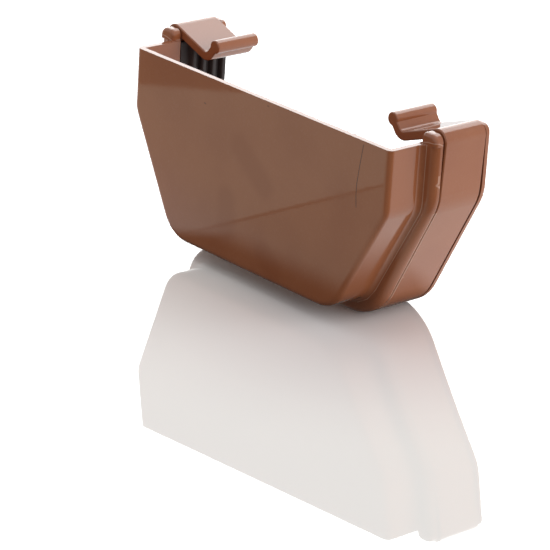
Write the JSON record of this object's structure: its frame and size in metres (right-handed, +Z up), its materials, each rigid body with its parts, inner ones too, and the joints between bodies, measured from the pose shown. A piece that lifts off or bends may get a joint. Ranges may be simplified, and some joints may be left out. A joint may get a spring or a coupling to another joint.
{
  "type": "gutter stop end",
  "caption": "Moulded end closure for a trapezoidal roof gutter, with a stepped socket, a ribbed rubber seal and a sprung retaining strap with finger grips.",
  "frame": {"origin": "middle of the footprint, on the level of the socket's underside", "axes": "+X across the channel, +Y from the end plate towards the socket's mouth, +Z up"},
  "size_m": [0.1226, 0.0342, 0.0636],
  "materials": {
    "moulding": "gloss, terracotta brown",
    "strap": "gloss, terracotta brown",
    "seal": "dull black, ribbed"
  },
  "bodies": {
    "root": {"stop_end_body": "moulding", "retaining_strap": "strap", "rubber_seal": "seal"}
  },
  "joints": []
}
